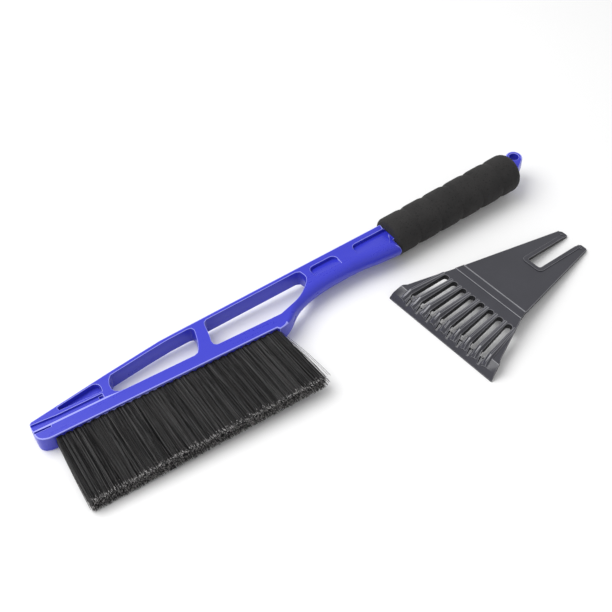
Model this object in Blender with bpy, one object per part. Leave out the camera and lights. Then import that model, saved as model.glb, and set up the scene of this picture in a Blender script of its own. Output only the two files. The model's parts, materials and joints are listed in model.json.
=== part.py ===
"""Snow brush with a detachable ice scraper, laid out flat, in metres with +Z up.

The brush body is built about its own mid-plane: +X runs along the bristle band from the
tip to the handle, +Y from the bristles to the spine. The scraper is built about the
middle of its blade: +X runs from the blade to the fork, +Y across it.
"""
import math

import bmesh
import bpy
from mathutils import Matrix, Vector

# Brush body: one moulding, the same on both faces
BODY_THICKNESS = 0.0160      # the frame, through the bristle band
BAND_LENGTH = 0.187          # the part that carries bristles
BAND_HEIGHT = 0.0107         # band below the windows
TIP_REACH = 0.015            # nose ahead of the bristle band
TIP_HEIGHT = 0.0205          # top of the nose
SPINE_BEND_X = 0.104         # where the spine turns level
SPINE_BEND_HEIGHT = 0.0388
NECK_LENGTH = 0.131          # band end to grip
NECK_TOP_HEIGHT = 0.0500     # spine where it meets the grip
NECK_BOTTOM_HEIGHT = 0.0198  # underside where it meets the grip
NECK_WAIST_HEIGHT = 0.0222   # underside at the slimmest place
NECK_ROUND = 0.44 * BODY_THICKNESS    # rounding of the neck's underside
RIM_ROUND = 0.0008           # rounding of all other outer rims
TAIL_LIP = 0.0023            # lip that closes the band behind the bristles

# Windows and pockets
TIP_BLOCK = 0.0505           # band start to the first window
WINDOW_1_LENGTH = 0.0790
WEB_WIDTH = 0.0072           # bar between the windows
SPINE_RAIL = 0.0034          # spine above the windows
WINDOW_TAIL = 0.0460         # second window's end past the band
WINDOW_DRAFT = 0.0008        # each window narrows by this to the mid-plane
POCKET_DEPTH = 0.0050
POCKET_RIM = 0.0019          # wall left round a pocket
THUMB_POCKET_DEPTH = 0.0036
THUMB_POCKET_LENGTH = 0.0262
THUMB_POCKET_START = 0.0065  # past the second window
THUMB_POCKET_BAR = 0.0170    # between the two recesses
THUMB_POCKET_WALL = 0.0056   # spine left above a recess
THUMB_POCKET_FALL = 0.0125   # a recess runs out this far under its top
THUMB_POCKET_OVERRUN = 0.0050    # the second recess runs this far under the foam
CUT_PAST = 0.0020            # cutting shapes reach this far past a surface

# Docking grooves for the scraper's fork, one on each face
DOCK_LENGTH = 0.0425         # from the band's start
DOCK_TOP = 0.0163            # groove's side towards the spine
DOCK_DEPTH = 0.0019
DOCK_CLEARANCE = 0.0003
DETENT_SHARE = 0.7           # of the groove's width
DETENT_DEPTH = 0.0016        # below the groove's floor
CATCH_WIDTH = 0.0008         # springy catch beside the groove
CATCH_SLIT_WIDTH = 0.0013    # slit that frees the springy catch

# Handle core and grip
GRIP_ANGLE = math.radians(4.4)
GRIP_AXIS_HEIGHT = 0.0389    # grip axis where the neck ends
GRIP_LENGTH = 0.1412
GRIP_DIAMETER = 0.0350
GRIP_SEGMENTS = 6
GRIP_GROOVE_DEPTH = 0.0013
GRIP_FRONT_ROUND = 0.0030
GRIP_END_ROUND = 0.0095
CORE_WIDTH = 0.0165
CORE_THICKNESS = BODY_THICKNESS - 0.0030
CORE_SINK = 0.0120           # how far the core is buried in the neck
CORE_ROUND = 0.0016
LOOP_REACH = 0.0160          # hanging loop past the grip
LOOP_RADIUS = 0.0078
LOOP_OFFSET = 0.0060         # loop's middle off the grip's axis, towards the spine
LOOP_HOLE_DIAMETER = 0.0090
FIT_GAP = 0.0003             # gap kept between pieces that touch

# Bristle tufts and the wires that hold them
TUFT_COUNT = 28
TUFT_START = 0.0005          # first tuft's middle from the band's start
TUFT_END = 0.0031            # last tuft's middle from the band's end
TUFT_HOLE_WIDTH = 0.0056
TUFT_HOLE_WALL = 0.0026      # band left each side of a hole
TUFT_HOLE_FLOOR = 0.0027     # band left above a hole
BRISTLE_LENGTH_FRONT = 0.0642    # free length below the band at the first tuft
BRISTLE_LENGTH_BACK = 0.0610     # and at the last one
BRISTLE_FLARE = 0.0060       # tufts have spread to their neighbours this far down
BRISTLE_LEAN_BACK = 0.0055   # last tuft's end leans out by this, the first hangs straight
BRISTLE_LOW_BACK = 0.0071    # last tuft's lower side below the mid-plane
BRISTLE_TOP_SPREAD = 0.0012  # upper side rises by this at the ends
REST_CLEARANCE = 0.0002      # bristle ends above the table
ANCHOR_THICKNESS = 0.0006
ANCHOR_HEIGHT = 0.0015
ANCHOR_DEPTH = 0.0032        # its lower side above the hole's mouth

# Scraper: one moulded plate with a down-turned blade lip and a forked end
SCRAPER_THICKNESS = 0.0030
SCRAPER_LENGTH = 0.1680
BLADE_WIDTH = 0.1150
BLADE_TAPER = 0.0036         # each end of the lip narrows by this to the shoulder
SHOULDER_STEP = 0.0022
LIP_LENGTH = 0.0110          # blade lip, from its edge to the plate
LIP_RISE = 0.0086
BEND_WIDTH = 0.0726          # width at the first rib
BEND_TAPER = 0.0020          # each side narrows by this between the ribs
BEND_START = 0.0552          # first rib from the blade
BEND_LENGTH = 0.0075         # first rib to second
BEND_RISE = 0.0126           # underside at the ribs above the table
FORK_TIP_WIDTH = 0.0300      # across both prongs at their tips
FORK_DEPTH = 0.0550
FORK_ROOT_ROUND = 0.0022
FORK_RIM_WIDTH = 0.0038      # raised rim round the fork's gap
FORK_RIM_HEIGHT = 0.0008
FORK_RIM_STOP = 0.0070       # the rim ends this far from the tips
FORK_TONGUE_LENGTH = 0.0028  # thin tongue at each prong's tip
FORK_TONGUE_STEP = 0.0014    # how much thinner it is
NUB_SIZE = 0.0022
NUB_HEIGHT = 0.0008
NUB_START = 0.0052           # nub's middle from the tips
BLADE_GRIND = 0.0034         # the lip is ground to an edge over this
BLADE_EDGE = 0.0009
RIB_WIDTH = 0.0012
RIB_HEIGHT = 0.0007
SLOT_COUNT = 8
SLOT_START = 0.0071
SLOT_END = 0.0448
SLOT_PITCH_START = 0.0113
SLOT_PITCH_END = 0.0099
SLOT_WIDTH_START = 0.0052
SLOT_WIDTH_END = 0.0060
NOTCH_START = 0.0022         # groove that runs from each slot down the lip
NOTCH_WIDTH = 0.0018
NOTCH_DEPTH_START = 0.0006
NOTCH_DEPTH_END = 0.0020
NOTCH_SPREAD = 0.7           # of the slot's width, where the two meet
BAR_DEPTH = 0.0026            # the bars between the slots reach this far under the plate
BAR_OVERRUN = 0.0035          # and this far past the slots' ends
BAR_SIDE = 0.0010             # wall past the outer slots
BAR_SINK = 0.0005             # their ends run this far into the plate
CLAW_START = 0.0030
CLAW_HEIGHT = 0.0026
CLAW_END_HEIGHT = 0.0007
CLAW_BASE_SHARE = 0.84       # of the bar between two slots
CLAW_TOP_WIDTH = 0.0014

# Where the scraper lies beside the brush, and how finely round shapes are cut
SCRAPER_AHEAD = 0.2993
SCRAPER_BESIDE = -0.0625
SCRAPER_TURN = math.radians(9.36)
ARC_STEP = math.radians(22.5)
GRIP_SIDES = 24

HALF_BODY = BODY_THICKNESS / 2
CUT_ABOVE = BEND_RISE + 0.02          # cutting shapes of the scraper reach this high
BODY_END = BAND_LENGTH + NECK_LENGTH
TUFT_HOLE_SPAN = BODY_THICKNESS - 2 * TUFT_HOLE_WALL
TUFT_HOLE_DEPTH = BAND_HEIGHT - TUFT_HOLE_FLOOR
TUFT_PITCH = (BAND_LENGTH - TUFT_START - TUFT_END) / (TUFT_COUNT - 1)
DOCK_WEB = BODY_THICKNESS - 2 * DOCK_DEPTH
FORK_GAP = DOCK_WEB + 2 * DOCK_CLEARANCE + 2 * FIT_GAP
DOCK_WIDTH = SCRAPER_THICKNESS + FORK_RIM_HEIGHT + 2 * DOCK_CLEARANCE
DOCK_LOW = DOCK_TOP - DOCK_WIDTH
DOCK_HEIGHT = DOCK_TOP - DOCK_WIDTH / 2
REST_TILT = math.asin((GRIP_DIAMETER / 2 - HALF_BODY) / (BODY_END + TIP_REACH))


def clear_scene():
    for item in list(bpy.data.objects):
        bpy.data.objects.remove(item, do_unlink=True)


def plastic(name, colour, roughness, metallic=0.0):
    material = bpy.data.materials.new(name)
    material.use_nodes = True
    shader = material.node_tree.nodes["Principled BSDF"]
    shader.inputs["Base Color"].default_value = (*colour, 1.0)
    shader.inputs["Roughness"].default_value = roughness
    shader.inputs["Metallic"].default_value = metallic
    return material


def add_object(name, shape, material, parent, smooth_angle=30.0):
    mesh = bpy.data.meshes.new(name)
    bmesh.ops.recalc_face_normals(shape, faces=shape.faces)
    shape.to_mesh(mesh)
    shape.free()
    mesh.materials.append(material)
    mesh.shade_smooth()
    mesh.set_sharp_from_angle(angle=math.radians(smooth_angle))
    item = bpy.data.objects.new(name, mesh)
    bpy.context.collection.objects.link(item)
    item.parent = parent
    return item


def add_cutter(name, shape, parent):
    mesh = bpy.data.meshes.new(name)
    bmesh.ops.recalc_face_normals(shape, faces=shape.faces)
    shape.to_mesh(mesh)
    shape.free()
    item = bpy.data.objects.new(name, mesh)
    bpy.context.collection.objects.link(item)
    item.parent = parent
    item.hide_render = True
    item.display_type = "WIRE"
    return item


def combine(item, other, operation):
    change = item.modifiers.new(operation.lower(), "BOOLEAN")
    change.operation = operation
    change.solver = "EXACT"
    change.object = other


def add_empty(name, location, rotation):
    item = bpy.data.objects.new(name, None)
    bpy.context.collection.objects.link(item)
    item.location = location
    item.rotation_euler = rotation
    return item


def round_corners(corners):
    """Outline from (x, y, radius) corners, each turned into an arc."""
    outline = []
    count = len(corners)
    for index, (x, y, radius) in enumerate(corners):
        here = Vector((x, y))
        if radius <= 0.0:
            outline.append(here)
            continue
        before = (Vector(corners[index - 1][:2]) - here).normalized()
        after = (Vector(corners[(index + 1) % count][:2]) - here).normalized()
        opening = before.angle(after)
        reach = radius / math.tan(opening / 2)
        turn = math.pi - opening
        steps = max(1, math.ceil(turn / ARC_STEP))
        middle = here + (before + after).normalized() * (radius / math.sin(opening / 2))
        first = here + before * reach - middle
        last = here + after * reach - middle
        for step in range(steps + 1):
            share = step / steps
            blend = math.sin((1 - share) * turn) * first + math.sin(share * turn) * last
            outline.append(middle + blend / math.sin(turn))
    return outline


def offset_outline(outline, distance):
    """Move every side of an anticlockwise outline inwards by the distance."""
    count = len(outline)
    moved = []
    for index, here in enumerate(outline):
        before = (here - outline[index - 1]).normalized()
        after = (outline[(index + 1) % count] - here).normalized()
        inward = Vector((-before.y - after.y, before.x + after.x)).normalized()
        spread = max(0.5, inward.dot(Vector((-before.y, before.x))))
        amount = distance[index] if isinstance(distance, list) else distance
        moved.append(here + inward * (amount / spread))
    return moved


def loft(shape, rings):
    """Close a row of rings of equal length into one solid."""
    rows = []
    for ring in rings:
        rows.append([shape.verts.new(point) for point in ring])
    for lower, upper in zip(rows, rows[1:]):
        for index in range(len(lower)):
            following = (index + 1) % len(lower)
            shape.faces.new((lower[index], lower[following], upper[following], upper[index]))
    shape.faces.new(list(reversed(rows[0])))
    shape.faces.new(rows[-1])


def level(outline, height):
    return [Vector((point.x, point.y, height)) for point in outline]


def rounded_slab(outline, half, radii, steps):
    """Slab about the mid-plane whose rims are rounded by each point's own radius."""
    rings = []
    for side in (-1, 1):
        order = range(steps + 1) if side < 0 else reversed(range(steps + 1))
        for step in order:
            angle = step / steps * math.pi / 2
            inset = [radius * (1 - math.sin(angle)) for radius in radii]
            ring = offset_outline(outline, inset)
            drop = [radius * (1 - math.cos(angle)) for radius in radii]
            rings.append([Vector((p.x, p.y, side * (half - d))) for p, d in zip(ring, drop)])
    shape = bmesh.new()
    loft(shape, rings)
    return shape


def through_cut(shape, outline, draft):
    """Opening through the body that narrows to its mid-plane from both faces."""
    grow = draft * CUT_PAST / HALF_BODY
    outer = offset_outline(outline, -grow)
    inner = offset_outline(outline, draft)
    reach = HALF_BODY + CUT_PAST
    loft(shape, [level(outer, -reach), level(inner, 0.0), level(outer, reach)])


def both_faces(shape, outline, depth):
    """Blind pocket of one depth in each face of the body."""
    for side in (-1, 1):
        low = side * (HALF_BODY - depth)
        high = side * (HALF_BODY + CUT_PAST)
        loft(shape, [level(outline, low), level(outline, high)])


def on_grip(along, across):
    """Point of the body's plan, given along and across the grip's axis."""
    direction = Vector((math.cos(GRIP_ANGLE), math.sin(GRIP_ANGLE)))
    side = Vector((-direction.y, direction.x))
    start = Vector((BODY_END, GRIP_AXIS_HEIGHT))
    return start + direction * along + side * across


def spine_height(x):
    """Top of the body: two gentle runs that meet at the spine's bend."""
    if x < SPINE_BEND_X:
        share = (x + TIP_REACH) / (SPINE_BEND_X + TIP_REACH)
        rise = SPINE_BEND_HEIGHT - TIP_HEIGHT
        bulge = 0.0006 * math.sin(math.pi * share)
        return TIP_HEIGHT + rise * share + bulge
    share = (x - SPINE_BEND_X) / (BODY_END - SPINE_BEND_X)
    return SPINE_BEND_HEIGHT + (NECK_TOP_HEIGHT - SPINE_BEND_HEIGHT) * share


def spine_run(start, end, spacing, below):
    """Points along the spine, a given distance under it, from end back to start."""
    count = max(1, round((end - start) / spacing))
    run = []
    for step in range(count + 1):
        x = end + (start - end) * step / count
        run.append(Vector((x, spine_height(x) - below)))
    return run


def smooth_run(points, per_span):
    """Catmull-Rom curve through hand-chosen points, ends included."""
    ends = [points[0] * 2 - points[1], *points, points[-1] * 2 - points[-2]]
    run = []
    for index in range(1, len(ends) - 2):
        a, b, c, d = ends[index - 1:index + 3]
        for step in range(per_span):
            s = step / per_span
            run.append(0.5 * (2 * b + (c - a) * s + (2 * a - 5 * b + 4 * c - d) * s * s
                              + (3 * b - a - 3 * c + d) * s ** 3))
    run.append(points[-1])
    return run


def body_outline():
    """Outer plan of the body, anticlockwise from the front of the band, with rim radii."""
    end = BAND_LENGTH
    nose = [
        Vector((-TIP_REACH, 0.0075)),
        Vector((-0.0143, 0.0046)),
        Vector((-0.0118, 0.0019)),
        Vector((-0.0075, 0.0003)),
        Vector((-0.0035, 0.0)),
    ]
    band = [Vector((x, 0.0)) for x in (0.0, end - 0.001)]
    tail = smooth_run([
        Vector((end + 0.0005, -TAIL_LIP)),
        Vector((end + 0.0070, -0.0010)),
        Vector((end + 0.0143, 0.0026)),
        Vector((end + 0.0225, 0.0086)),
        Vector((end + 0.0330, 0.0138)),
        Vector((end + 0.0500, 0.0187)),
        Vector((end + 0.0710, 0.0213)),
        Vector((end + 0.0936, NECK_WAIST_HEIGHT)),
        Vector((end + 0.1107, (NECK_WAIST_HEIGHT + NECK_BOTTOM_HEIGHT) / 2 - 0.0002)),
    ], 3)
    foot = on_grip(0.0, -(GRIP_AXIS_HEIGHT - NECK_BOTTOM_HEIGHT))
    head = on_grip(0.0, NECK_TOP_HEIGHT - GRIP_AXIS_HEIGHT)
    spine = spine_run(-TIP_REACH + 0.0015, BODY_END - 0.004, 0.016, 0.0)
    tip = [Vector((-TIP_REACH, TIP_HEIGHT - 0.0012)), Vector((-TIP_REACH, 0.0130))]
    outline = nose + band + tail + [foot, head] + spine + tip
    radii = []
    for point in outline:
        past_band = (point.x - end - 0.006) / 0.022
        lower = point.y < GRIP_AXIS_HEIGHT - 0.010 and point.x > end
        share = min(1.0, max(0.0, past_band)) if lower else 0.0
        radii.append(RIM_ROUND + (NECK_ROUND - RIM_ROUND) * share)
    return outline, radii


def window_outlines():
    """Plans of the two windows between the band and the spine rail."""
    low = BAND_HEIGHT
    start = TIP_BLOCK
    end = start + WINDOW_1_LENGTH
    top = spine_run(start + 0.0045, end - 0.0040, 0.018, SPINE_RAIL)
    right = [
        Vector((end - 0.0112, low)),
        Vector((end - 0.0082, low + 0.0010)),
        Vector((end - 0.0060, low + 0.0038)),
        Vector((end - 0.0028, low + 0.0113)),
        Vector((end - 0.0006, low + 0.0193)),
        Vector((end, spine_height(end) - SPINE_RAIL - 0.0032)),
        Vector((end - 0.0012, spine_height(end) - SPINE_RAIL - 0.0009)),
    ]
    left = [
        Vector((start + 0.0016, spine_height(start) - SPINE_RAIL - 0.0028)),
        Vector((start, low + 0.0098)),
        Vector((start - 0.0002, low + 0.0056)),
        Vector((start + 0.0012, low + 0.0026)),
        Vector((start + 0.0040, low + 0.0007)),
        Vector((start + 0.0085, low)),
    ]
    first = right + top + left
    start = end + WEB_WIDTH
    end = BAND_LENGTH + WINDOW_TAIL
    top = spine_run(start + 0.0060, end - 0.0048, 0.024, SPINE_RAIL)
    right = smooth_run([
        Vector((end - 0.0370, low)),
        Vector((end - 0.0240, low + 0.0042)),
        Vector((end - 0.0145, low + 0.0083)),
        Vector((end - 0.0075, low + 0.0133)),
        Vector((end - 0.0018, low + 0.0190)),
        Vector((end, low + 0.0240)),
        Vector((end - 0.0014, spine_height(end) - SPINE_RAIL - 0.0018)),
    ], 2)
    left = [
        Vector((start + 0.0034, spine_height(start) - SPINE_RAIL - 0.0012)),
        Vector((start + 0.0024, low + 0.0230)),
        Vector((start + 0.0005, low + 0.0110)),
        Vector((start - 0.0010, low + 0.0054)),
        Vector((start - 0.0006, low + 0.0019)),
        Vector((start + 0.0012, low + 0.0003)),
        Vector((start + 0.0034, low)),
    ]
    return first, right + top + left


def body_cuts():
    """Windows, pockets, docking grooves, catch slit, tuft holes and hanging hole."""
    shape = bmesh.new()
    for outline in window_outlines():
        through_cut(shape, outline, WINDOW_DRAFT)
    pocket_end = TIP_BLOCK - 0.0055
    pocket = round_corners([
        (0.0090, DOCK_TOP + POCKET_RIM + 0.0012, 0.0005),
        (pocket_end - 0.0015, DOCK_TOP + POCKET_RIM - 0.0004, 0.0008),
        (pocket_end, spine_height(pocket_end) - POCKET_RIM, 0.0050),
        (0.0082, spine_height(0.0082) - POCKET_RIM, 0.0009),
    ])
    both_faces(shape, pocket, POCKET_DEPTH)
    past_tip = -TIP_REACH - 0.004
    groove = round_corners([
        (past_tip, DOCK_LOW + 0.0002, 0.0),
        (DOCK_LENGTH, DOCK_LOW, 0.0003),
        (DOCK_LENGTH, DOCK_TOP, 0.0003),
        (0.0060, DOCK_TOP, 0.0),
        (past_tip, DOCK_TOP + 0.0020, 0.0),
    ])
    both_faces(shape, groove, DOCK_DEPTH)
    slit_top = DOCK_LOW - CATCH_WIDTH
    slit = round_corners([
        (past_tip, slit_top - CATCH_SLIT_WIDTH - 0.0004, 0.0),
        (-0.0016, slit_top - CATCH_SLIT_WIDTH - 0.0008, 0.0003),
        (-0.0016, slit_top - 0.0008, 0.0003),
        (past_tip, slit_top, 0.0),
    ])
    both_faces(shape, slit, DOCK_DEPTH)
    return shape


def detent_cuts():
    """Square detents at the inner ends of the docking grooves."""
    shape = bmesh.new()
    size = DOCK_WIDTH * DETENT_SHARE
    end = DOCK_LENGTH - DOCK_CLEARANCE
    detent = round_corners([
        (end - size, DOCK_HEIGHT - size / 2, 0.0),
        (end, DOCK_HEIGHT - size / 2, 0.0),
        (end, DOCK_HEIGHT + size / 2, 0.0),
        (end - size, DOCK_HEIGHT + size / 2, 0.0),
    ])
    both_faces(shape, detent, DOCK_DEPTH + DETENT_DEPTH)
    return shape


def thumb_cuts():
    """Sloping thumb recesses in the neck: deep under the spine, running out below."""
    shape = bmesh.new()
    first = BAND_LENGTH + WINDOW_TAIL + THUMB_POCKET_START
    second = first + THUMB_POCKET_LENGTH + THUMB_POCKET_BAR
    last_length = BODY_END - second + THUMB_POCKET_OVERRUN
    wall = THUMB_POCKET_WALL
    fall = THUMB_POCKET_FALL
    for start, length, round_end in (
            (first, THUMB_POCKET_LENGTH, 0.0050),
            (second, last_length, 0.0)):
        top_start = spine_height(start) - wall
        top_end = spine_height(start + length) - wall
        plan = round_corners([
            (start, top_start - fall, 0.0),
            (start + length, top_end - fall, 0.0),
            (start + length, top_end, round_end),
            (start, top_start, 0.0042),
        ])
        for side in (-1, 1):
            lower = []
            upper = []
            for point in plan:
                under = max(0.0, spine_height(point.x) - wall - point.y)
                depth = THUMB_POCKET_DEPTH * (1 - 1.1 * under / fall)
                lower.append(Vector((point.x, point.y, side * (HALF_BODY - depth))))
                upper.append(Vector((point.x, point.y, side * (HALF_BODY + CUT_PAST))))
            loft(shape, [lower, upper])
    return shape


def tuft_place(index):
    return TUFT_START + TUFT_PITCH * index


def tuft_ring(width, y, shift, low, high):
    """Long eight-sided ring of a tuft or its hole, at one distance from the band."""
    chamfer = width * 0.28
    half = width / 2
    corners = [
        (half, low + chamfer), (half, high - chamfer), (half - chamfer, high),
        (chamfer - half, high), (-half, high - chamfer), (-half, low + chamfer),
        (chamfer - half, low), (half - chamfer, low),
    ]
    return [Vector((x + shift, y, z)) for x, z in corners]


def tuft_holes():
    shape = bmesh.new()
    half = TUFT_HOLE_SPAN / 2
    for index in range(TUFT_COUNT):
        x = tuft_place(index)
        rings = []
        for y in (-TAIL_LIP - CUT_PAST, TUFT_HOLE_DEPTH):
            rings.append(tuft_ring(TUFT_HOLE_WIDTH, y, x, -half, half))
        loft(shape, rings)
    return shape


def anchor_box(shape, x, grow):
    """Flat wire across a tuft hole, or the fold left for it when grown."""
    size = Vector((
        ANCHOR_THICKNESS + 2 * grow,
        ANCHOR_HEIGHT + 2 * grow,
        TUFT_HOLE_SPAN - 2 * FIT_GAP + 4 * grow,
    ))
    centre = Vector((x, ANCHOR_DEPTH + ANCHOR_HEIGHT / 2, 0.0))
    made = bmesh.ops.create_cube(shape, size=1.0)
    bmesh.ops.transform(
        shape,
        matrix=Matrix.Translation(centre) @ Matrix.Diagonal((*size, 1.0)),
        verts=made["verts"],
    )


def tuft_solid(index):
    """One cross-row of bristles, from its fold in the band to its trimmed ends."""
    share = index / (TUFT_COUNT - 1)
    lean = BRISTLE_LEAN_BACK * share
    length = BRISTLE_LENGTH_FRONT + (BRISTLE_LENGTH_BACK - BRISTLE_LENGTH_FRONT) * share
    end_pitch = TUFT_PITCH + BRISTLE_LEAN_BACK / (TUFT_COUNT - 1)
    width = TUFT_HOLE_WIDTH - 2 * FIT_GAP
    half = TUFT_HOLE_SPAN / 2 - FIT_GAP
    table = HALF_BODY + math.sin(REST_TILT) * (TUFT_START + TIP_REACH) - REST_CLEARANCE
    low = -table - (BRISTLE_LOW_BACK - table) * share
    high = half + BRISTLE_TOP_SPREAD
    flare = BRISTLE_FLARE / length
    flare_width = TUFT_PITCH + (end_pitch - TUFT_PITCH) * flare - FIT_GAP
    flare_low = -half + (low + half) * flare
    flare_high = half + BRISTLE_TOP_SPREAD * flare
    shape = bmesh.new()
    loft(shape, [
        tuft_ring(width, TUFT_HOLE_DEPTH - FIT_GAP, 0.0, -half, half),
        tuft_ring(width, 0.0, 0.0, -half, half),
        tuft_ring(flare_width, -BRISTLE_FLARE, lean * flare, flare_low, flare_high),
        tuft_ring(end_pitch - FIT_GAP, -length, lean, low, high),
    ])
    return shape


def loop_centre():
    """Middle of the hanging loop, along and across the grip's axis."""
    return GRIP_LENGTH + 2 * FIT_GAP + LOOP_REACH - LOOP_RADIUS, LOOP_OFFSET


def core_outline():
    """Plan of the handle core, which flares past the grip into the hanging loop's tab."""
    half = CORE_WIDTH / 2
    along, across = loop_centre()
    past_grip = GRIP_LENGTH + 3 * FIT_GAP
    back = past_grip - along
    low_turn = math.acos(LOOP_RADIUS / math.hypot(back, half + across))
    high_turn = math.acos(min(1.0, LOOP_RADIUS / math.hypot(back, half - across)))
    first = math.atan2(-half - across, back) + low_turn
    last = math.atan2(half - across, back) - high_turn
    steps = math.ceil((last - first) / ARC_STEP)
    plan = [
        on_grip(-CORE_SINK, half),
        on_grip(-CORE_SINK, -half),
        on_grip(past_grip, -half),
    ]
    for step in range(steps + 1):
        angle = first + (last - first) * step / steps
        plan.append(on_grip(along + LOOP_RADIUS * math.cos(angle),
                            across + LOOP_RADIUS * math.sin(angle)))
    plan.append(on_grip(past_grip, half))
    return plan


def build_body(parent, blue):
    outline, radii = body_outline()
    body = add_object("brush_body", rounded_slab(outline, HALF_BODY, radii, 3), blue, parent)
    core_plan = core_outline()
    core_radii = [CORE_ROUND] * len(core_plan)
    core = add_cutter(
        "core_shape",
        rounded_slab(core_plan, CORE_THICKNESS / 2, core_radii, 2),
        parent,
    )
    combine(body, core, "UNION")
    cuts = (
        add_cutter("body_cuts", body_cuts(), parent),
        add_cutter("detent_cuts", detent_cuts(), parent),
        add_cutter("thumb_cuts", thumb_cuts(), parent),
        add_cutter("tuft_holes", tuft_holes(), parent),
        add_cutter("loop_cut", loop_cut(), parent),
    )
    for cut in cuts:
        combine(body, cut, "DIFFERENCE")
    return body


def loop_cut():
    """Hole of the hanging loop."""
    shape = bmesh.new()
    centre_along, centre_across = loop_centre()
    radius = LOOP_HOLE_DIAMETER / 2
    ring = []
    for step in range(16):
        angle = 2 * math.pi * step / 16
        ring.append(on_grip(centre_along + radius * math.cos(angle),
                            centre_across + radius * math.sin(angle)))
    past = CORE_THICKNESS / 2 + CUT_PAST
    loft(shape, [level(ring, -past), level(ring, past)])
    return shape


def grip_radius(along):
    """Grip outline: equal soft bulges between shallow grooves, rounded at both ends."""
    pitch = GRIP_LENGTH / GRIP_SEGMENTS
    place = (along / pitch) % 1.0
    inner = pitch / 2 < along < GRIP_LENGTH - pitch / 2
    near = min(place, 1 - place) if inner else min(abs(place - 0.5) + 0.5, 0.5)
    radius = GRIP_DIAMETER / 2 - GRIP_GROOVE_DEPTH * max(0.0, 1 - near / 0.22) ** 2
    if along < GRIP_FRONT_ROUND:
        left = GRIP_FRONT_ROUND - along
        radius -= GRIP_FRONT_ROUND - math.sqrt(GRIP_FRONT_ROUND ** 2 - left ** 2)
    if along > GRIP_LENGTH - GRIP_END_ROUND:
        left = along - GRIP_LENGTH + GRIP_END_ROUND
        radius -= GRIP_END_ROUND - math.sqrt(max(0.0, GRIP_END_ROUND ** 2 - left ** 2))
    return radius


def grip_stations():
    """Places along the grip where its outline turns."""
    pitch = GRIP_LENGTH / GRIP_SEGMENTS
    stations = [0.0, GRIP_FRONT_ROUND * 0.3, GRIP_FRONT_ROUND]
    for groove in range(1, GRIP_SEGMENTS):
        for share in (-0.2, -0.08, 0.0, 0.08, 0.2):
            stations.append(pitch * (groove + share))
    for share in (0.0, 0.35, 0.65, 0.87, 1.0):
        stations.append(GRIP_LENGTH - GRIP_END_ROUND * (1 - share))
    return sorted(stations)


def build_grip(parent, foam):
    """Foam sleeve, pushed over the handle core from the loop end."""
    shape = bmesh.new()
    rings = []
    for along in grip_stations():
        radius = grip_radius(along)
        ring = []
        for step in range(GRIP_SIDES):
            angle = 2 * math.pi * step / GRIP_SIDES
            ring.append(Vector((along, radius * math.cos(angle), radius * math.sin(angle))))
        rings.append(ring)
    loft(shape, rings)
    grip = add_object("foam_grip", shape, foam, parent, 60.0)
    start = on_grip(FIT_GAP, 0.0)
    grip.location = (start.x, start.y, 0.0)
    grip.rotation_euler = (0.0, 0.0, GRIP_ANGLE)
    bore = bmesh.new()
    half_y = CORE_WIDTH / 2 + FIT_GAP
    half_z = CORE_THICKNESS / 2 + FIT_GAP
    corner = CORE_ROUND
    plan = round_corners([
        (-half_y, -half_z, corner), (half_y, -half_z, corner),
        (half_y, half_z, corner), (-half_y, half_z, corner),
    ])
    ends = (-CUT_PAST, GRIP_LENGTH + CUT_PAST)
    loft(bore, [[Vector((x, p.x, p.y)) for p in plan] for x in ends])
    cut = add_cutter("grip_bore", bore, parent)
    cut.location = grip.location
    cut.rotation_euler = grip.rotation_euler
    combine(grip, cut, "DIFFERENCE")
    return grip


def build_bristles(parent, bristle, steel):
    slots = bmesh.new()
    for index in range(TUFT_COUNT):
        anchor_box(slots, tuft_place(index), FIT_GAP)
    folds = add_cutter("anchor_folds", slots, parent)
    for index in range(TUFT_COUNT):
        number = f"{index + 1:02d}"
        place = (tuft_place(index), 0.0, 0.0)
        tuft = add_object(f"bristle_tuft_{number}", tuft_solid(index), bristle, parent, 20.0)
        tuft.location = place
        combine(tuft, folds, "DIFFERENCE")
        wire = bmesh.new()
        anchor_box(wire, 0.0, 0.0)
        anchor = add_object(f"tuft_anchor_{number}", wire, steel, parent, 20.0)
        anchor.location = place


def lower_profile():
    """Underside of the plate, seen from its side: lip, plate, ribs' flat and fork."""
    return [
        Vector((0.0, 0.0)),
        Vector((LIP_LENGTH, LIP_RISE)),
        Vector((BEND_START, BEND_RISE)),
        Vector((BEND_START + BEND_LENGTH, BEND_RISE)),
        Vector((SCRAPER_LENGTH, 0.0)),
    ]


def upper_profile():
    """Upper side of the plate: the underside moved out by the plate's thickness."""
    lower = lower_profile()
    upper = []
    for index, here in enumerate(lower):
        runs = []
        if index > 0:
            runs.append((here - lower[index - 1]).normalized())
        if index < len(lower) - 1:
            runs.append((lower[index + 1] - here).normalized())
        middle = sum((Vector((-run.y, run.x)) for run in runs), Vector((0.0, 0.0))).normalized()
        stretch = middle.dot(Vector((-runs[0].y, runs[0].x)))
        upper.append(here + middle * (SCRAPER_THICKNESS / stretch))
    slope = (upper[1].y - upper[0].y) / (upper[1].x - upper[0].x)
    ground = upper[0].y + slope * (BLADE_GRIND - upper[0].x)
    upper[0] = Vector((BLADE_GRIND, ground))
    fall = (upper[4].y - upper[3].y) / (upper[4].x - upper[3].x)
    upper[4] = Vector((SCRAPER_LENGTH, upper[3].y + fall * (SCRAPER_LENGTH - upper[3].x)))
    return [Vector((0.0, BLADE_EDGE))] + upper


def read_profile(profile, along):
    for before, after in zip(profile, profile[1:]):
        if along <= after.x:
            share = (along - before.x) / (after.x - before.x)
            return before.y + (after.y - before.y) * share
    return profile[-1].y


def top_height(along):
    return read_profile(upper_profile(), along)


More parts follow.
